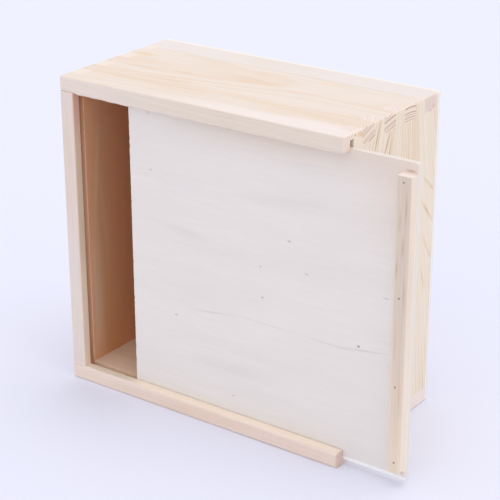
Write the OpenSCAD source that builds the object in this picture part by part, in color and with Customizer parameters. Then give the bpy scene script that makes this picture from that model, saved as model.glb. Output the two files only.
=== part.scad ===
// Square pine box with comb-jointed corners and a thin plywood lid that slides in grooves.
// It stands on one of its side walls, with the lid drawn partly out.
// X runs along the lid's travel, towards the open end where the lid comes out.
// Y runs from the lid side to the base, and Z runs up.
// The origin is the middle of the face that the box stands on.

/* [Box] */
// Outer length along the lid's travel
box_w = 200; // [120:1:320]
// Outer height, as the box stands
box_h = 200; // [120:1:320]
// Width of the wall boards, from the lid side to their back edges
board_w = 100; // [60:1:160]
// Thickness of the wall boards
wall_t = 9.5; // [8:0.5:14]
// Thickness of the plywood base glued over the boards' back edges
base_t = 4; // [2:0.5:6]
// Radius of the sanded outer edges
edge_r = 1.2; // [0.3:0.1:1.5]

/* [Comb joints] */
// Width of a side wall's tooth
tooth_w = 12.2; // [8:0.1:16]
// Distance from one tooth to the next
tooth_pitch = 22.1; // [20:0.1:32]
// Extra width of the side walls' rear tooth, where the pitch doesn't divide the board
rear_tooth_extra = 2.4; // [0:0.1:6]

/* [Lid groove] */
// Thickness of the lip in front of the groove
lip_t = 6; // [4:0.5:8]
// Depth of the groove in the walls
groove_depth = 6; // [5.5:0.5:7]
// Width of the chamfer on the lips' inner front edges
lip_chamfer = 0.8; // [0.2:0.1:1]

/* [Lid] */
// Thickness of the plywood lid
lid_t = 3; // [2:0.5:5]
// Play between the lid's face and each side of its groove
lid_play = 0.4; // [0.3:0.05:0.8]
// Gap between the lid's lower edge and the floor of its groove
lid_seat_gap = 0.2; // [0.1:0.05:0.3]
// Gap between the lid's upper edge and the roof of its groove
lid_top_play = 4.6; // [0.5:0.1:5]
// Gap between the shut lid's end and the floor of the closed end's groove
lid_end_play = 2.5; // [0.3:0.1:4]
// Distance that the lid is drawn out
lid_open = 41.5; // [0:0.5:110]

/* [Pull batten] */
// Width of the batten across the lid's end
batten_w = 9; // [8:0.5:20]
// Space between each end of a centred batten and its lip
batten_end_gap = 2.6; // [2.5:0.1:6]
// Chamfer on the batten's front edges
batten_chamfer = 0.4; // [0.2:0.1:1]

/* [Brads] */
// Diameter of a brad's shank
brad_d = 0.9; // [0.7:0.1:1.2]
// Diameter of a brad's head
brad_head_d = 1.4; // [1.4:0.1:2.4]
// Thickness of a brad's head
brad_head_t = 0.4; // [0.3:0.1:0.8]
// Depth of a brad's head below the batten's face
brad_sink = 0.2; // [0.1:0.05:0.5]
// Length of a brad's point
brad_point = 1; // [0.6:0.1:1.4]
// Wood left behind a brad's point
brad_cover = 0.5; // [0.3:0.1:0.8]
// Radial clearance round a brad
brad_fit = 0.05; // [0.02:0.01:0.1]
// Distance of the top brad from the batten's upper end
top_brad_inset = 3.5; // [3:0.1:12]
// Height of the second brad above the batten's middle
upper_brad_rise = 18.7; // [6:0.1:40]
// Depth of the third brad below the batten's middle
lower_brad_drop = 34.5; // [6:0.5:40]
// Distance of the bottom brad from the batten's lower end
bottom_brad_inset = 6.5; // [3:0.5:12]
// Distance of the brads' line from the batten's middle, away from the lid's end
brad_side_set = 0.5; // [0:0.1:1.4]
// Sideways error of a hand-set brad
brad_stagger = 0.5; // [0:0.1:0.9]

/* [Hidden] */
$fn = 48;

// Overshoot of a cutting shape past the face that it cuts
over = 1;
// Narrowest socket that is cut beside the front tooth
least_socket = 4;

box_d = board_w + base_t;
left_x = -box_w / 2;
right_x = box_w / 2;
front_y = -box_d / 2;

// The groove, measured from the front edge of its board
groove_w = lid_t + 2 * lid_play;
groove_back = lip_t + groove_w;
groove_floor = wall_t - groove_depth;

// Teeth of the side walls as spans along the board, with the lip and groove in the front one
comb_end = board_w - rear_tooth_extra;
tooth_count = floor((comb_end - tooth_w - groove_back - least_socket) / tooth_pitch) + 1;
rear_teeth = [
    for (i = [tooth_count - 1:-1:0])
        [comb_end - tooth_w - i * tooth_pitch, i == 0 ? board_w : comb_end - i * tooth_pitch]
];
teeth = concat([[0, groove_back]], rear_teeth);
sockets = [for (i = [1:tooth_count]) [teeth[i - 1][1], teeth[i][0]]];

// The lid where it stands in its grooves
lid_l = box_w - groove_floor - lid_end_play;
lid_h = box_h - 2 * groove_floor - lid_seat_gap - lid_top_play;
lid_right = right_x + lid_open;
lid_y = lip_t + lid_play;
lid_z = groove_floor + lid_seat_gap;

// The batten is as thick as the lip, stands on the lid's face and is centred on it
batten_t = lip_t;
batten_l = box_h - 2 * wall_t - 2 * batten_end_gap;
batten_x = lid_right - batten_w;
batten_y = lid_y - batten_t;
batten_z = lid_z + (lid_h - batten_l) / 2;

// Brads run back from the batten's face, and end inside the lid
brad_l = batten_t + lid_t - brad_sink - brad_cover;
batten_mid = batten_z + batten_l / 2;
brad_line = batten_x + batten_w / 2 - brad_side_set;
brad_spots = [
    [brad_line, batten_z + batten_l - top_brad_inset],
    [brad_line - brad_stagger / 2, batten_mid + upper_brad_rise],
    [brad_line - brad_stagger, batten_mid - lower_brad_drop],
    [brad_line + brad_stagger, batten_z + bottom_brad_inset]
];

pine = "#ead8bd";
birch_ply = "#e4dbd5";
batten_pine = "#dcc2a4";
brad_steel = "#8b8781";

// Places what is drawn from the box's front face at its depth in the frame
module from_front() {
    translate([0, front_y, 0]) children();
}

module rounded_rect(w, h, r) {
    translate([r, 0]) square([w - 2 * r, h]);
    translate([0, r]) square([w, h - 2 * r]);
    for (x = [r, w - r], y = [r, h - r])
        translate([x, y]) circle(r);
}

// The box's outer shape, with every outer edge sanded round
module sanded_block() {
    intersection() {
        translate([left_x, 0, 0])
            linear_extrude(box_h) rounded_rect(box_w, box_d, edge_r);
        translate([left_x, box_d, 0]) rotate([90, 0, 0])
            linear_extrude(box_d) rounded_rect(box_w, box_h, edge_r);
        translate([left_x, 0, 0]) rotate([90, 0, 90])
            linear_extrude(box_w) rounded_rect(box_d, box_h, edge_r);
    }
}

// Section of a grooved board: its width, then its thickness from the outer face
module grooved_section() {
    polygon([
        [0, 0],
        [board_w, 0],
        [board_w, wall_t],
        [groove_back, wall_t],
        [groove_back, groove_floor],
        [lip_t, groove_floor],
        [lip_t, wall_t],
        [lip_chamfer, wall_t],
        [0, wall_t - lip_chamfer]
    ]);
}

// Cuts the sockets for the end walls' teeth into one end of a lower side wall
module socket_cuts(end_x) {
    for (s = sockets)
        translate([end_x, s[0], -over])
            cube([wall_t + over, s[1] - s[0], wall_t + 2 * over]);
}

// A side wall lying on its outer face
module side_board() {
    difference() {
        translate([left_x, 0, 0]) rotate([90, 0, 90])
            linear_extrude(box_w) grooved_section();
        socket_cuts(left_x - over);
        socket_cuts(right_x - wall_t);
    }
}

// Cuts the side walls' teeth out of both ends of an end wall
module tooth_cuts(outer_x) {
    for (t = teeth, z = [-over, box_h - wall_t])
        translate([outer_x - over, t[0] - (t[0] == 0 ? over : 0), z])
            cube([
                wall_t + 2 * over,
                t[1] - t[0] + (t[0] == 0 || t[1] == board_w ? over : 0),
                wall_t + over
            ]);
}

module lower_side_wall() {
    color(pine) from_front() intersection() {
        side_board();
        sanded_block();
    }
}

module upper_side_wall() {
    color(pine) from_front() intersection() {
        translate([0, 0, box_h]) mirror([0, 0, 1]) side_board();
        sanded_block();
    }
}

module closed_end_wall() {
    color(pine) from_front() intersection() {
        difference() {
            translate([left_x, 0, 0]) mirror([1, -1, 0])
                linear_extrude(box_h) grooved_section();
            tooth_cuts(left_x);
        }
        sanded_block();
    }
}

// The open end's wall starts behind the groove, so that the lid slides out over its edge
module open_end_wall() {
    color(pine) from_front() intersection() {
        difference() {
            translate([right_x - wall_t, groove_back, 0])
                cube([wall_t, board_w - groove_back, box_h]);
            tooth_cuts(right_x - wall_t);
        }
        sanded_block();
    }
}

module base_panel() {
    color(birch_ply) from_front() intersection() {
        translate([left_x, board_w, 0]) cube([box_w, base_t, box_h]);
        sanded_block();
    }
}

// Turns what is drawn along Z so that it runs back from the batten's face
module at_each_brad() {
    for (spot = brad_spots)
        translate([spot[0], batten_y, spot[1]]) rotate([-90, 0, 0]) children();
}

// A brad's outline, grown by the clearance that its hole has round it
module brad_shape(fit, head_top) {
    head_end = brad_sink + brad_head_t;
    shank_end = brad_sink + brad_l - brad_point;
    translate([0, 0, head_top])
        cylinder(h = head_end - head_top, d = brad_head_d + 2 * fit);
    translate([0, 0, head_end - fit])
        cylinder(h = shank_end - head_end + fit, d = brad_d + 2 * fit);
    translate([0, 0, shank_end])
        cylinder(h = brad_point, d1 = brad_d + 2 * fit, d2 = brad_d / 4 + 2 * fit);
}

module lid_panel() {
    color(birch_ply) from_front() difference() {
        translate([lid_right - lid_l, lid_y + lid_t, lid_z]) rotate([90, 0, 0])
            linear_extrude(lid_t) rounded_rect(lid_l, lid_h, edge_r);
        at_each_brad() brad_shape(brad_fit, -over);
    }
}

// Section of the batten: its width, then its thickness from the lid's face
module batten_section() {
    polygon([
        [0, 0],
        [batten_w, 0],
        [batten_w, batten_t - batten_chamfer],
        [batten_w - batten_chamfer, batten_t],
        [batten_chamfer, batten_t],
        [0, batten_t - batten_chamfer]
    ]);
}

module pull_batten() {
    color(batten_pine) from_front() difference() {
        translate([batten_x + batten_w, lid_y, batten_z]) rotate([0, 0, 180])
            linear_extrude(batten_l) batten_section();
        at_each_brad() brad_shape(brad_fit, -over);
    }
}

module batten_brads() {
    color(brad_steel) from_front() at_each_brad() brad_shape(0, brad_sink);
}

upper_side_wall();
lower_side_wall();
closed_end_wall();
open_end_wall();
base_panel();
lid_panel();
pull_batten();
batten_brads();
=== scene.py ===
import random
from collections import namedtuple
from math import radians

import bmesh
import bpy
from mathutils import Matrix, Vector, noise


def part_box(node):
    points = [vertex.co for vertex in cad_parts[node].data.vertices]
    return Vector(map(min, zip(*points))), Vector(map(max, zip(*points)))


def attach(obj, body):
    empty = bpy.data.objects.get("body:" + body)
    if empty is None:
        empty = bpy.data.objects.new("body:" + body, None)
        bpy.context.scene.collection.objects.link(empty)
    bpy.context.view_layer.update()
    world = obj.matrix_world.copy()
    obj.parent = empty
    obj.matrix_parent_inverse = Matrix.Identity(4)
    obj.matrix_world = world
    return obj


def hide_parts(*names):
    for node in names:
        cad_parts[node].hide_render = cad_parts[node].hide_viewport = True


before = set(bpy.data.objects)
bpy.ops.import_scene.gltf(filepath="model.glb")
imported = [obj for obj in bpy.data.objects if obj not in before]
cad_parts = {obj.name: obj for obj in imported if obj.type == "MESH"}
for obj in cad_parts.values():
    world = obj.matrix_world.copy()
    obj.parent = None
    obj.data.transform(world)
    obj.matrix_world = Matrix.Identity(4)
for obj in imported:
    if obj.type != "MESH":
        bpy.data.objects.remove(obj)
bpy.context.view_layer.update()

MM = 0.001

# How far the sharp edges of sanded boards are eased, and of the planed strip
EASE = 0.1 * MM
STRIP_EASE = 0.15 * MM
# Rounding by wear at the lips' open ends
LIP_WEAR = 0.6 * MM
# The lips lie in front of this Y, where the lid's groove starts
GROOVE_FRONT = -0.046
BOX_TOP = 0.2
# Slack when parts of a board are picked by their place
NEAR = 0.1 * MM

# Tones that more than one surface has
RUBBED_WOOD = "#fbf0e4"
DARK_SPECK = "#7d675a"

# A soft oval of another tone on a wood. spot and size are in mm and turn is in degrees. depth is
# its strength, core the share of its radius that doesn't fade, and how the way that it blends.
Mark = namedtuple(
    "Mark", "spot size tint depth turn core how", defaults=((0, 0, 0), 0.2, "MULTIPLY"))


# ---------------------------------------------------------------- nodes
def srgb(code):
    """Turns an sRGB hex colour into the linear one that a shader takes."""
    parts = [int(code[i:i + 2], 16) / 255 for i in (1, 3, 5)]
    return [c / 12.92 if c < 0.04045 else ((c + 0.055) / 1.055) ** 2.4 for c in parts] + [1]


def add(tree, kind, inputs, **settings):
    """Adds a node, sets it, links the sockets it is given, and returns its first live output."""
    node = tree.nodes.new("ShaderNode" + kind)
    for name, value in settings.items():
        setattr(node, name, value)
    for key, value in inputs.items():
        if isinstance(value, bpy.types.NodeSocket):
            tree.links.new(value, node.inputs[key])
        else:
            node.inputs[key].default_value = value
    return next((s for s in node.outputs if s.enabled), None)


def calc(tree, operation, *values):
    """Works out one to three values."""
    return add(tree, "Math", dict(enumerate(values)), operation=operation)


def ramp(tree, value, start, end, first=0.0, last=1.0, **settings):
    """Goes from the first level to the last as a value goes from start to end."""
    return add(tree, "MapRange", {
        "Value": value, "From Min": start, "From Max": end, "To Min": first, "To Max": last},
        **settings)


def blend(tree, amount, under, over, how="MIX"):
    """Blends two colours, each of which is a hex code or a socket."""
    under, over = (srgb(c) if isinstance(c, str) else c for c in (under, over))
    return add(tree, "Mix", {0: amount, 6: under, 7: over}, data_type="RGBA", blend_type=how)


def stretched_noise(tree, place, scale, **inputs):
    """Noise that is drawn out along the axes with the smaller scales."""
    stretched = add(tree, "Mapping", {"Vector": place, "Scale": scale})
    return add(tree, "TexNoise", {"Vector": stretched, "Scale": 1.0, **inputs})


def new_material(name):
    """An empty node material, its tree, and its object coordinates and normal."""
    material = bpy.data.materials.new(name)
    material.use_nodes = True
    tree = material.node_tree
    tree.nodes.clear()
    place = add(tree, "TexCoord", {}).node
    return material, tree, place.outputs["Object"], place.outputs["Normal"]


# ---------------------------------------------------------------- shapes
def sharp_edges(shape, worn, inside):
    """The sharp edges whose middle is inside the worn place, or else those outside it."""
    return [
        e for e in shape.edges
        if e.is_manifold and e.calc_face_angle() > radians(25)
        and (worn is not None and worn((e.verts[0].co + e.verts[1].co) / 2)) == inside]


def round_off(shape, edges, ease, steps):
    """Rounds edges by a radius in so many steps."""
    bmesh.ops.bevel(shape, geom=edges, offset=ease, offset_type="OFFSET", affect="EDGES",
                    segments=steps, profile=0.5, material=-1, clamp_overlap=True)


def split_faces(shape, faces, spot, direction):
    """Cuts some faces of a shape along a plane, without opening it."""
    parts = set(faces) | {e for f in faces for e in f.edges} | {v for f in faces for v in f.verts}
    bmesh.ops.bisect_plane(shape, geom=list(parts), dist=1e-7, plane_co=spot, plane_no=direction)


def to_piece(shape, name, body, slot, *nodes):
    """Makes a bmesh into a smooth-shaded piece that rides on a body and stands for CAD nodes."""
    bmesh.ops.recalc_face_normals(shape, faces=shape.faces)
    mesh = bpy.data.meshes.new(name)
    shape.to_mesh(mesh)
    shape.free()
    mesh.shade_smooth()
    piece = bpy.data.objects.new(name, mesh)
    bpy.context.scene.collection.objects.link(piece)
    keep = piece.modifiers.new("flat_faces", "WEIGHTED_NORMAL")
    keep.weight = 100
    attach(piece, body)
    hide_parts(*nodes)
    return piece


def eased_copy(node, name, body, slot, ease, worn=None, wear=0, cut=None, tear=None):
    """A board's own shape with its sharp edges eased, as sandpaper leaves them.

    worn picks the edges that wear has rounded more. cut and tear change the shape before and after.
    """
    shape = bmesh.new()
    shape.from_mesh(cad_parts[node].data)
    bmesh.ops.remove_doubles(shape, verts=shape.verts, dist=1e-6)
    bmesh.ops.dissolve_limit(shape, angle_limit=radians(1), verts=shape.verts, edges=shape.edges)
    if cut is not None:
        cut(shape)
    if worn is not None:
        round_off(shape, sharp_edges(shape, worn, True), wear, 4)
    round_off(shape, sharp_edges(shape, worn, False), ease, 2)
    if tear is not None:
        tear(shape)
    return to_piece(shape, name, body, slot, node)


def dress(piece, material):
    """Gives a piece its only material."""
    piece.data.materials.clear()
    piece.data.materials.append(material)


def lip_end(spot):
    """The lips' open ends, which hands and the lid have rounded."""
    return spot.x > 0.0985 and spot.y < GROOVE_FRONT - NEAR


def torn(shape):
    """Fibres that the cutter tore along the upper lip's lower front edge.

    They hang up to 1 mm below it, in waves some 10 mm and 2.5 mm long, and fade out at both ends.
    """
    start, end = -0.0895, 0.0985
    x = start
    while x < end:
        lip = [f for f in shape.faces if f.calc_center_median().y < GROOVE_FRONT + NEAR
               and f.calc_center_median().z < BOX_TOP - NEAR]
        split_faces(shape, lip, (x, 0, 0), (1, 0, 0))
        x += 1.3 * MM
    for v in shape.verts:
        if v.co.y < -0.0505 and v.co.z < 0.1915 and start < v.co.x < end:
            fade = min(1, (v.co.x - start) / (4 * MM), (end - v.co.x) / (2 * MM))
            long_wave = noise.noise((v.co.x * 110, 3.1, 0))
            short_wave = noise.noise((v.co.x * 420, 7.7, 0))
            v.co.z -= fade * (0.6 + 0.35 * long_wave + 0.3 * short_wave) * MM


lid_low, lid_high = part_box("lid_panel")


def ragged(shape):
    """Splinters broken out of the lid's sawn edge, up to 0.4 mm deep, where the fibres end."""
    chance = random.Random(7)
    inset, corner = 0.8 * MM, 2 * MM
    split_faces(shape, shape.faces[:], (lid_low.x + inset, 0, 0), (1, 0, 0))
    z = lid_low.z + corner
    while z < lid_high.z - corner:
        edge = [f for f in shape.faces if f.calc_center_median().x < lid_low.x + inset]
        split_faces(shape, edge, (0, 0, z), (0, 0, 1))
        z += chance.uniform(0.5, 1.6) * MM
    for v in shape.verts:
        if v.co.x < lid_low.x + 0.01 * MM:
            v.co.x += 0.4 * MM * chance.random() ** 4


# ---------------------------------------------------------------- wood
def edge_wear(tree, grit):
    """How worn a spot is: half on an edge, not at all 0.9 mm away, and broken up by the grit."""
    round_normal = add(tree, "Bevel", {"Radius": 0.9 * MM}, samples=4)
    flat_normal = add(tree, "NewGeometry", {}).node.outputs["Normal"]
    bend = add(tree, "VectorMath", {0: round_normal, 1: flat_normal},
               operation="DOT_PRODUCT").node.outputs["Value"]
    return calc(tree, "MULTIPLY", ramp(tree, bend, 0.995, 0.85, 0.0, 0.5),
                ramp(tree, grit, 0.35, 0.6, 0.3))


def finish_wood(tree, colour, rough, height, relief, grit):
    """Ends a wood material.

    Bare wood has a soft, wide gloss, a relief of a few hundredths of a millimetre, and edges that
    are rubbed paler and smoother.
    """
    wear = edge_wear(tree, grit)
    colour = blend(tree, wear, colour, RUBBED_WOOD)
    rough = calc(tree, "MULTIPLY_ADD", wear, -0.2, rough)
    bump = add(tree, "Bump", {"Strength": 1.0, "Distance": relief, "Height": height})
    skin = add(tree, "BsdfPrincipled", {
        "Base Color": colour, "Roughness": rough, "Normal": bump,
        "IOR": 1.5, "Specular IOR Level": 0.3})
    add(tree, "OutputMaterial", {"Surface": skin})


def soft_mark(tree, place, colour, mark):
    """Blends a mark into a colour."""
    oval = add(tree, "Mapping", {
        "Vector": place, "Location": [v * MM for v in mark.spot],
        "Scale": [v * MM for v in mark.size], "Rotation": [radians(v) for v in mark.turn]},
        vector_type="TEXTURE")
    off = add(tree, "VectorMath", {0: oval}, operation="LENGTH").node.outputs["Value"]
    amount = ramp(tree, off, mark.core, 1.0, mark.depth, 0.0, interpolation_type="SMOOTHSTEP")
    return blend(tree, amount, colour, mark.tint, mark.how)


def fan_out(tree, place, middle, focus, true_depth):
    """Spreads the lines like a fan below a focus, as a tree's taper and butt flare do.

    At the true depth below the focus they keep their width, and the middle's line runs straight.
    """
    parts = add(tree, "SeparateXYZ", {0: place}).node.outputs
    side = calc(tree, "SUBTRACT", parts["Y"], middle)
    below = calc(tree, "SUBTRACT", focus, parts["Z"])
    spread = calc(tree, "DIVIDE", true_depth, below)
    side = calc(tree, "MULTIPLY_ADD", side, spread, middle)
    return add(tree, "CombineXYZ", {0: parts["X"], 1: side, 2: parts["Z"]})


def growth_rings(tree, log, ring):
    """How far a spot is into autumn wood: each ring darkens slowly and then ends sharply."""
    # The rings wander by up to 3.5 mm along the log
    drift = stretched_noise(tree, log, (0.006, 0.024, 0.024), Detail=2.0).node.outputs["Color"]
    drift = add(tree, "VectorMath", {0: drift, 1: (0.5, 0.5, 0.5)}, operation="SUBTRACT")
    drift = add(tree, "VectorMath", {0: drift, 1: (0, 7, 7)}, operation="MULTIPLY")
    across = add(tree, "VectorMath", {0: log, 1: (0, 1, 1)}, operation="MULTIPLY")
    across = add(tree, "VectorMath", {0: across, 1: drift}, operation="ADD")
    radius = add(tree, "VectorMath", {0: across}, operation="LENGTH").node.outputs["Value"]
    years = calc(tree, "DIVIDE", radius, ring)
    # Good and bad years make them wider and narrower
    uneven = add(tree, "TexNoise", {"W": years, "Scale": 0.35, "Detail": 1.0},
                 noise_dimensions="1D")
    season = calc(tree, "FRACT", calc(tree, "MULTIPLY_ADD", uneven, 2.0, years))
    rise = ramp(tree, season, 0.25, 0.88, interpolation_type="SMOOTHSTEP")
    fall = ramp(tree, season, 0.88, 1.0, 1.0, 0.0)
    return calc(tree, "MINIMUM", rise, fall)


def glued_strips(tree, colour, at, seam, second):
    """Makes the second strip paler and greyer, and parts the two by a fine glue line."""
    colour = blend(tree, calc(tree, "MULTIPLY", second, 0.55), colour, "#e9e4e3")
    off = calc(tree, "ABSOLUTE", calc(tree, "SUBTRACT", at["Y"], seam))
    line = ramp(tree, off, 0.1 * MM, 0.4 * MM, 0.4, 0.0)
    # It is weaker towards the closed end
    line = calc(tree, "MULTIPLY", line, ramp(tree, at["X"], -0.05, 0.03, 0.25))
    return blend(tree, line, colour, "#b79a80")


def end_grain(tree, colour, at, end_on, autumn, end, end_tone, hatch):
    """Cut across, a board is plainer and paler, and its rings end in thin dark lines."""
    # The lines are weak on the lips and near the back edges
    behind_lip = ramp(tree, at["Y"], -0.044, -0.041, 0.3 * hatch, hatch)
    before_back = ramp(tree, at["Y"], 0.03, 0.037, 1.0, 0.3)
    line = calc(tree, "MULTIPLY", calc(tree, "POWER", autumn, 3.0), behind_lip)
    line = calc(tree, "MULTIPLY", line, before_back)
    plain = blend(tree, 0.75, colour, end_tone)
    cut = blend(tree, 1.0, plain, blend(tree, line, end, "#a98570"), "MULTIPLY")
    return blend(tree, end_on, colour, cut)


def paint_inner_shade(tree, colour, at, across, end_on, tone, inner, ends):
    """Paints the dim, warm shade of bounce light on the side that faces into the box."""
    start = GROOVE_FRONT - NEAR
    deep = ramp(tree, at["Y"], start, start + 0.4 * MM)
    low = calc(tree, "GREATER_THAN", across, ends[0])
    high = calc(tree, "LESS_THAN", across, ends[1])
    within = calc(tree, "MULTIPLY", calc(tree, "MULTIPLY", low, high), deep)
    within = calc(tree, "MULTIPLY", within, calc(tree, "SUBTRACT", 1.0, end_on))
    weaker_in_patches = ramp(tree, tone, 0.4, 0.65, 1.0, 0.85)
    return blend(tree, calc(tree, "MULTIPLY", within, weaker_in_patches), colour, inner, "MULTIPLY")


def pine(name, grain, pith, ring, early, late, strength, end, end_tone, hatch, inner=None,
         inner_ends=(0, 0), seam=None, seam_shift=(0, 0, 0), fan=None, patches=0.3, marks=()):
    """Bare pine, cut from a log: rings round its pith, pale in spring and amber in autumn.

    grain is the log's direction, pith a point on its axis in metres, and ring the rings' width in
    mm. strength is how much the autumn wood shows. end, end_tone and hatch are for the end grain.
    inner_ends gives the lowest and highest place, across the board, of its painted inner shade.
    seam is the Y of a glue line, past which the wood comes from another part of the log.
    """
    material, tree, place, normal = new_material(name)
    at = add(tree, "SeparateXYZ", {0: place}).node.outputs
    origin = place
    if seam is not None:
        second = calc(tree, "GREATER_THAN", at["Y"], seam)
        shift = add(tree, "VectorMath", {0: seam_shift, "Scale": second}, operation="SCALE")
        origin = add(tree, "VectorMath", {0: place, 1: shift}, operation="ADD")
    if fan is not None:
        origin = fan_out(tree, origin, *fan)
    # From here on in mm, with X along the log's axis
    turn = Vector(grain).to_track_quat("X", "Z").to_euler()
    log = add(tree, "Mapping", {
        "Vector": origin, "Location": pith, "Rotation": turn, "Scale": (MM, MM, MM)},
        vector_type="TEXTURE")
    autumn = growth_rings(tree, log, ring)
    # Fibres, some 0.5 mm wide and a few centimetres long
    fibre = stretched_noise(tree, log, (0.03, 0.9, 0.9), Detail=4.0, Roughness=0.6)
    # Tone that changes over a few centimetres
    tone = stretched_noise(tree, log, (0.008, 0.05, 0.05), Detail=3.0)

    bold = ramp(tree, tone, 0.38, 0.62, 0.25 * strength, strength)
    colour = blend(tree, calc(tree, "MULTIPLY", autumn, bold), early, late)
    # Warmer patches
    warm = ramp(tree, tone, 0.5, 0.72, 0.0, patches)
    colour = blend(tree, warm, colour, "#f6dcb4", "MULTIPLY")
    streak = ramp(tree, fibre, 0.3, 0.7, 0.955, 1.025)
    colour = add(tree, "VectorMath", {0: colour, "Scale": streak}, operation="SCALE")
    if seam is not None:
        colour = glued_strips(tree, colour, at, seam, second)

    facing = add(tree, "VectorMath", {0: normal, 1: Vector(grain).normalized()},
                 operation="DOT_PRODUCT").node.outputs["Value"]
    end_on = ramp(tree, calc(tree, "ABSOLUTE", facing), 0.55, 0.85)
    colour = end_grain(tree, colour, at, end_on, autumn, end, end_tone, hatch)
    if inner is not None:
        across = at["X" if abs(grain[2]) > 0.5 else "Z"]
        colour = paint_inner_shade(tree, colour, at, across, end_on, tone, inner, inner_ends)
    for mark in marks:
        colour = soft_mark(tree, place, colour, mark)
    rough = ramp(tree, fibre, 0.0, 1.0, 0.5, 0.75)
    height = calc(tree, "MULTIPLY_ADD", autumn, 0.4, fibre)
    finish_wood(tree, colour, rough, height, 0.05 * MM, tone)
    return material


def veneer(name, face, core, mid_y, ply, contrast=1.0, marks=()):
    """Thin plywood: sliced veneers with a quiet, wide grain, round a core that shows at the edges.

    mid_y is the middle of the sheet's thickness, and ply the core's thickness.
    """
    material, tree, place, normal = new_material(name)
    mm = add(tree, "Mapping", {"Vector": place, "Scale": (1000, 1000, 1000)})
    cloud = stretched_noise(tree, mm, (0.008, 0.2, 0.035), Detail=3.0, Distortion=0.6)
    fibre = stretched_noise(tree, mm, (0.05, 0.8, 0.8), Detail=4.0, Roughness=0.6)
    level = calc(tree, "MULTIPLY", ramp(tree, cloud, 0.3, 0.7, 0.965, 1.02),
                 ramp(tree, fibre, 0.3, 0.7, 0.98, 1.015))
    level = calc(tree, "POWER", level, contrast)
    colour = add(tree, "VectorMath", {0: srgb(face)[:3], "Scale": level}, operation="SCALE")
    for mark in marks:
        colour = soft_mark(tree, place, colour, mark)
    # The core shows where a surface faces sideways, in the middle of the thickness
    facing = calc(tree, "ABSOLUTE", add(tree, "SeparateXYZ", {0: normal}).node.outputs["Y"])
    edge = ramp(tree, facing, 0.4, 0.7, 1.0, 0.0)
    y = add(tree, "SeparateXYZ", {0: place}).node.outputs["Y"]
    off = calc(tree, "ABSOLUTE", calc(tree, "SUBTRACT", y, mid_y))
    middle = ramp(tree, off, ply / 2 - 0.05 * MM, ply / 2 + 0.05 * MM, 1.0, 0.0)
    colour = blend(tree, calc(tree, "MULTIPLY", edge, middle), colour, core)
    rough = ramp(tree, fibre, 0.0, 1.0, 0.55, 0.75)
    finish_wood(tree, colour, rough, fibre, 0.03 * MM, cloud)
    return material


# ---------------------------------------------------------------- the box
upper = eased_copy("upper_side_wall", "upper_board", "carcass", "pine", EASE, lip_end, LIP_WEAR,
                   tear=torn)
# Sanded pine, glued up from two strips: soft amber lines run along a pale top, the strip behind
# the glue line is greyer, and the front is nearly white
dress(upper, pine(
    "sanded_pine_upper_board", grain=(1, 0.02, -0.018), pith=(0, 0.0115, 0.0778), ring=1.7,
    early="#ecdfd3", late="#e2bd92", strength=0.36, end="#fdf5ee", end_tone="#f3e9dd", hatch=0.8,
    # inner paints warm shade on the underside, inside the box
    inner="#f0c6a2", inner_ends=(0.1, 0.1906), seam=0.0305, seam_shift=(0.3, 0.09, -0.1),
    marks=(
        # Pale band along the front, wider at the open end, and the yellower wood behind it
        Mark((60, -49, 200), (112, 12, 1), "#f2e7e2", 0.8, core=0.35, how="MIX"),
        Mark((80, -41, 200), (44, 9, 1), "#f2e7e2", 0.7, how="MIX"),
        Mark((48, -28, 200), (60, 6, 1), "#fdf8ee", 1.0, (0, 0, -3)),
        Mark((70, -52, 195), (170, 0.6, 9), "#fbfbf7", 1.0, core=0.4),
        # Yellow patch and two grain streaks near the closed end
        Mark((-89, 14.5, 200), (10, 6, 1), "#faf0cf", 0.7),
        Mark((-72, -8.2, 200), (21, 0.8, 1), "#e3c49a", 0.5, (0, 0, 7), 0.0),
        Mark((-44, -4.5, 200), (16, 0.8, 1), "#e3c49a", 0.4, (0, 0, 11), 0.0),
        # Pale end of the last tooth, with two dark dashes
        Mark((100, 40.5, 195), (4, 8, 6.5), "#f4f1f3", 0.8, core=0.5),
        Mark((100, 43.2, 193), (1, 2, 0.4), "#9d8784", 0.7, (50, 0, 0)),
        Mark((100, 40.2, 190.9), (1, 1.4, 0.4), "#9d8784", 0.7, (35, 0, 0)))))

lower = eased_copy("lower_side_wall", "lower_board", "carcass", "pine", EASE, lip_end, LIP_WEAR)
# Sanded pine with hardly any figure: a plain pale bar with a creamy top
dress(lower, pine(
    "sanded_pine_lower_board", grain=(1, -0.015, 0.02), pith=(0.1, 0.02, -0.09), ring=2.1,
    early="#f2e2d4", late="#e6c4a2", strength=0.16, end="#faf5f2", end_tone="#f8f1ec", hatch=0.15,
    # inner paints faint warm shade on the ledge and groove inside the box
    inner="#fff0e2", inner_ends=(0.0035, 0.1),
    marks=(
        # The lip's top, painted shade on its chamfer, the board's front and the lip's open end
        Mark((0, -48.5, 9.5), (150, 3.6, 0.5), "#f8e8d6", 0.85, core=0.7, how="MIX"),
        Mark((0, -51.7, 9.0), (150, 0.8, 0.8), "#f4ece7", 0.35, core=0.0),
        Mark((60, -52, 4), (150, 0.6, 7), "#fbf7f6", 1.0, core=0.4),
        Mark((100, -49, 4.5), (1.2, 7, 9), "#e8d8d0", 0.85, core=0.6))))

closed = eased_copy("closed_end_wall", "closed_end_board", "carcass", "pine", EASE)
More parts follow.
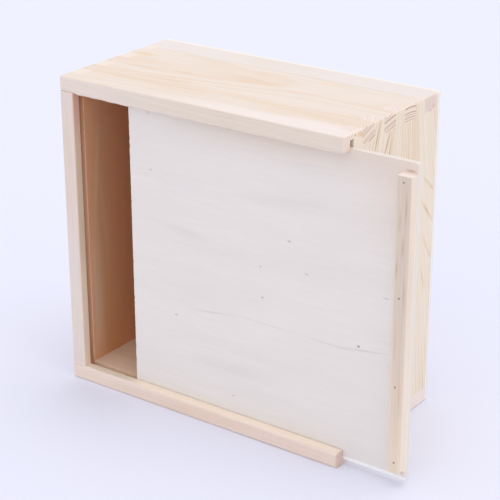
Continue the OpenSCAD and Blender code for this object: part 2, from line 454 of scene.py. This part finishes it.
# Sanded pine, with painted warm shade within: past the lid's edge the eye sees a warm red-brown
dress(closed, pine(
    "sanded_pine_closed_end", grain=(0.02, 0.02, 1), pith=(-0.17, -0.02, 0), ring=2.4,
    early="#e9dcd3", late="#dcbc9f", strength=0.12, end="#ffffff", end_tone="#f4e6d9", hatch=0.05,
    inner="#ffc492", inner_ends=(-0.0965, 0),
    marks=(
        # The lip's inner side in painted warm bounce light, creamier at the bottom, away from the
        # shade
        Mark((-90.5, -49, 100), (0.6, 6, 160), "#eed5bb", 1.0, core=0.7, how="MIX"),
        Mark((-90.5, -49, 20), (0.6, 6, 80), "#ffe8d2", 0.8, core=0.5, how="MIX"),
        # Pale streaks on the inner side
        Mark((-90.5, -33, 135), (0.6, 3.2, 46), "#efc59c", 0.55, (-5, 0, 0), 0.0, "MIX"),
        Mark((-90.5, -27, 100), (0.6, 2.0, 40), "#efc59c", 0.35, (4, 0, 0), 0.0, "MIX"),
        Mark((-90.5, -38, 60), (0.6, 1.6, 50), "#efc59c", 0.4, core=0.0, how="MIX"),
        # Redder towards the back, paler in front, and painted light that lifts the groove's shade
        Mark((-90.5, 14, 100), (0.6, 50, 170), "#fbaa79", 0.65, core=0.6, how="MIX"),
        Mark((-90.5, -37, 55), (0.6, 9, 70), "#efcfb4", 0.3, how="MIX"),
        Mark((-93, -42.8, 100), (4, 1.1, 150), "#f6c79c", 0.9, core=0.5, how="MIX"),
        # Painted shadow of the upper board, pinker, at the top of the lip
        Mark((-90.5, -49, 197), (0.6, 6, 50), "#fee0e0", 1.0))))

opened = eased_copy("open_end_wall", "open_end_board", "carcass", "pine", EASE)
# Sanded pine from near a butt: close lines fan out from the top, between bold amber streaks
dress(opened, pine(
    "sanded_pine_open_end", grain=(0.0, 0.0, 1), pith=(0.003, -0.054, 0), ring=1.3,
    early="#f1e4d1", late="#d6b98e", strength=0.6, end="#f9f2ef", end_tone="#f9f3f0", hatch=0.3,
    # inner paints warm shade on the inner side and groove
    inner="#f0c6a2", inner_ends=(0, 0.0965), fan=(0.012, 0.32, 0.17),
    marks=[
        Mark((100, y, z), (3, long, wide), tint, depth, (-lean, 0, 0), 0.0)
        for y, z, long, wide, lean, tint, depth in (
            (41.0, 147.0, 13, 1.8, 41, "#e8d3a4", 0.4),
            (46.0, 142.6, 4, 2.0, 35, "#dfcf9f", 0.35),
            (41.6, 128.8, 17, 1.5, 50, "#e3c294", 0.55),
            (40.2, 131.0, 5, 1.6, 50, "#dccb9c", 0.2),
            (41.6, 107.8, 16, 2.0, 58, "#e6cd9c", 0.35),
            (47.0, 99.5, 5, 2.2, 58, "#e2cfa0", 0.3),
            (39.8, 86.0, 14, 2.2, 70, "#e8d6a8", 0.35),
            (-18.0, 190.0, 1.4, 16, 17, "#d3c49c", 0.8),
            (-7.0, 184.0, 1.4, 14, 25, "#dcb287", 0.8),
            (-3.5, 180.0, 1.0, 18, 22, "#dcc59c", 0.5),
            # Orange patch beside the first tooth
            (-35.5, 197.4, 6, 2.6, 12, "#f3cbaa", 0.6),
            (-33.5, 196, 2.6, 2.6, 0, "#f3cbaa", 0.5))] + [
        # Painted shadow: a small dark spot in a notch at the top
        Mark((100, -41.0, 198), (0.7, 0.9, 0.7), "#8a6a5c", 0.8)]))

base = eased_copy("base_panel", "plywood_base", "carcass", "birch_plywood", EASE)
# Sanded plywood: a quiet cream sheet with soft clouds, a few specks and a paler edge
dress(base, veneer(
    "sanded_plywood_base", "#eadfd2", "#f6efe6", 0.05, 1.6 * MM, contrast=2.5,
    marks=[
        Mark((x, 52, z), (wide, 1, tall), tint, depth, (0, lean, 0), core)
        for x, z, wide, tall, lean, tint, depth, core in (
            (-31, 142, 1.4, 0.9, 0, DARK_SPECK, 0.8, 0.2),
            (44, 61, 1.6, 1.1, 0, DARK_SPECK, 0.9, 0.2),
            (12, 118, 1.1, 0.7, 0, DARK_SPECK, 0.6, 0.2),
            (-66, 33, 1.3, 0.8, 0, DARK_SPECK, 0.7, 0.2),
            (70, 156, 1.2, 0.8, 0, DARK_SPECK, 0.6, 0.2),
            (-20, 88, 46, 1.0, 3, "#c4a98a", 0.45, 0.0),
            (38, 93, 38, 0.9, -4, "#c4a98a", 0.4, 0.0),
            (10, 166, 70, 7, 2, "#ecdcc4", 0.5, 0.0),
            (-30, 52, 60, 9, -3, "#ecdcc4", 0.5, 0.0),
            (52, 28, 8, 5, 0, "#e2c7a4", 0.5, 0.0),
            (0, 6, 130, 5, 0, "#e8dccf", 0.7, 0.2))] + [
        Mark((0, 50, 200), (150, 4, 1), "#ffffff", 0.25, core=0.8, how="MIX")]))

lid = eased_copy("lid_panel", "plywood_lid", "lid", "birch_plywood", EASE, cut=ragged)
lid_marks = [
    Mark((x, -45.6, z), (wide, 1, tall), DARK_SPECK, depth)
    for x, z, wide, tall, depth in (
        (61.7, 129.7, 1.9, 0.9, 0.4),
        (42.0, 109.6, 1.4, 0.8, 0.33),
        (73.4, 112.6, 1.5, 0.8, 0.33),
        (43.4, 90.6, 1.4, 0.9, 0.45),
        (-19.9, 62.7, 1.8, 0.9, 0.36),
        (108.5, 77.9, 1.4, 1.1, 0.7),
        (-37.0, 151.8, 1.3, 0.8, 0.35),
        (22.3, 20.7, 1.4, 0.8, 0.35),
        (125.0, 111.4, 3.0, 0.5, 0.3))]
# A fine, wavy line across the lid, faint clouds and two stains
lid_marks += [
    Mark((x, -45.6, z), (wide, 1, tall), "#b9a794", depth, (0, -lean, 0), 0.0)
    for x, z, wide, tall, lean, depth in (
        (8, 71.5, 24, 0.9, 8, 0.16),
        (45, 74.2, 30, 0.8, 0, 0.12),
        (88, 73.8, 26, 0.9, 0, 0.18),
        (112, 76.2, 24, 0.8, 8, 0.26),
        (-12, 118, 30, 5, -6, 0.08),
        (60, 152, 46, 7, 4, 0.08),
        (20, 38, 50, 8, 3, 0.08),
        (-38, 187.5, 1.2, 3, 0, 0.4),
        (137.4, 187.0, 4.5, 0.9, 0, 0.2))]
lid_marks += [
    # Reddish smudge above the strip
    Mark((137.4, -45.6, 187.0), (4.5, 1, 0.9), "#d8ae9c", 0.5),
    # Painted shade under the upper lip, and a warmer right half
    Mark((50, -45.6, 193), (130, 1, 26), "#f6ede2", 1.0, core=0.0),
    Mark((142, -45.6, 190), (62, 1, 78), "#fef7f2", 1.0),
    # Pale bared fibres along the lower edge
    Mark((112, -45.6, 3.7), (60, 1, 2.6), "#ffffff", 0.85, core=0.6, how="MIX")]
# Sanded plywood: a cool, nearly white face without figure, on which only specks catch the eye
dress(lid, veneer(
    "sanded_plywood_lid", "#ece6e0", "#e6dfd4", (lid_low.y + lid_high.y) / 2, 1.6 * MM,
    marks=lid_marks))

strip = eased_copy("pull_batten", "pull_strip", "lid", "batten_pine", STRIP_EASE)
# Planed pine: a plain narrow bar, warmer than the lid, with short grey streaks along it
dress(strip, pine(
    "planed_pine_pull_strip", grain=(0.0, 0.0, 1), pith=(0.09, -0.05, 0), ring=2.6,
    early="#f1e3d0", late="#cdb196", strength=0.15, end="#ffffff", end_tone="#f4e7e0", hatch=0.1,
    patches=0.2,
    marks=[
        Mark((x, -51.6, z), (wide, 0.9, tall), tint, depth, (0, lean, 0), 0.0)
        for x, z, wide, tall, lean, tint, depth in (
            (135.2, 160.5, 1.3, 9, 2, "#cfc6ac", 0.35),
            (138.7, 167.5, 1.2, 13, 1, "#c6ba9c", 0.35),
            (137.4, 145.7, 1.1, 10, 2, "#c6b9a6", 0.45),
            (134.2, 133.0, 1.1, 9, 3, "#c9bdb2", 0.4),
            (139.2, 118.0, 1.1, 16, -1, "#d6c4ae", 0.3),
            (135.0, 92.0, 1.1, 20, 1, "#dcc9b4", 0.3),
            (138.4, 60.0, 1.3, 24, -1, "#dccbb0", 0.3))] + [
        # Chipped lower corner, and a face that is greyer towards the top
        Mark((141.5, -50, 10.8), (1.2, 2, 1.3), "#b39a88", 0.7),
        Mark((137, -51.6, 185), (8, 0.5, 230), "#dcd6d8", 0.6, core=0.3),
        Mark((137, -51.6, 40), (8, 0.5, 90), "#fffcf8", 1.0)]))

# Drawn steel wire, cut and headed cold: dull grey points with fine lengthwise marks
material, tree, place, normal = new_material("drawn_steel_brads")
grit = stretched_noise(tree, place, (4000, 400, 4000), Detail=2.0)
skin = add(tree, "BsdfPrincipled", {
    "Base Color": blend(tree, grit, "#c6bbae", "#a39687"), "Metallic": 1.0,
    "Roughness": ramp(tree, grit, 0.0, 1.0, 0.35, 0.6),
    "Normal": add(tree, "Bump", {"Strength": 1.0, "Distance": 0.01 * MM, "Height": grit})})
add(tree, "OutputMaterial", {"Surface": skin})
dress(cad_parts["batten_brads"], material)

# ---------------------------------------------------------------- floor, light, camera
floor_shape = bmesh.new()
bmesh.ops.create_grid(floor_shape, x_segments=1, y_segments=1, size=4)
floor_mesh = bpy.data.meshes.new("floor")
floor_shape.to_mesh(floor_mesh)
floor_shape.free()
floor = bpy.data.objects.new("floor", floor_mesh)
bpy.context.scene.collection.objects.link(floor)
# Matt board: an even, slightly blue ground that shows nothing but the box's soft shadow
material, tree, place, normal = new_material("matt_pale_floor")
skin = add(tree, "BsdfPrincipled", {
    "Base Color": srgb("#e7e9f8"), "Roughness": 0.7, "Specular IOR Level": 0.25})
add(tree, "OutputMaterial", {"Surface": skin})
dress(floor, material)

world = bpy.data.worlds.new("studio")
bpy.context.scene.world = world
world.use_nodes = True
tree = world.node_tree
tree.nodes.clear()
sky = add(tree, "Background", {"Color": srgb("#fdfcff"), "Strength": 0.86})
# The camera and mirror-like surfaces see a backdrop of the floor's tone past the floor's far edge
backdrop = add(tree, "Background", {"Color": srgb("#eff1fc"), "Strength": 1.0})
ray = add(tree, "LightPath", {}).node.outputs
seen = calc(tree, "MAXIMUM", ray["Is Camera Ray"], ray["Is Glossy Ray"])
seen = calc(tree, "MAXIMUM", seen, ray["Is Transmission Ray"])
sky = add(tree, "MixShader", {0: seen, 1: sky, 2: backdrop})
add(tree, "OutputWorld", {"Surface": sky})


def soft_light(name, place, spread, strength):
    """A wide, even light from the side of a place, as a large diffuser gives, spread in degrees."""
    lamp = bpy.data.lights.new(name, "SUN")
    lamp.angle = radians(spread)
    lamp.energy = strength
    source = bpy.data.objects.new(name, lamp)
    source.rotation_euler = Vector(place).to_track_quat("Z", "Y").to_euler()
    bpy.context.scene.collection.objects.link(source)


soft_light("overhead_diffuser", (0.25, 0.1, 1.6), 50, 0.62)
soft_light("front_diffuser", (0.3, -1.6, 1.1), 45, 0.2)
soft_light("side_diffuser", (1.9, -0.1, 0.5), 40, 0.26)

# The photo's camera, solved from the box's straight edges: where it is, and its turn, tilt and roll
camera_data = bpy.data.cameras.new("photo_camera")
camera_data.sensor_width = 36
camera_data.lens = 111.267
camera = bpy.data.objects.new("photo_camera", camera_data)
camera.matrix_world = (
    Matrix.Translation((0.508015, -0.706115, 0.457018))
    @ Matrix.Rotation(radians(35.6265), 4, "Z")
    @ Matrix.Rotation(radians(90 - 22.6449), 4, "X")
    @ Matrix.Rotation(radians(-0.0778), 4, "Z"))
bpy.context.scene.collection.objects.link(camera)
bpy.context.scene.camera = camera
bpy.context.scene.view_settings.view_transform = "Standard"
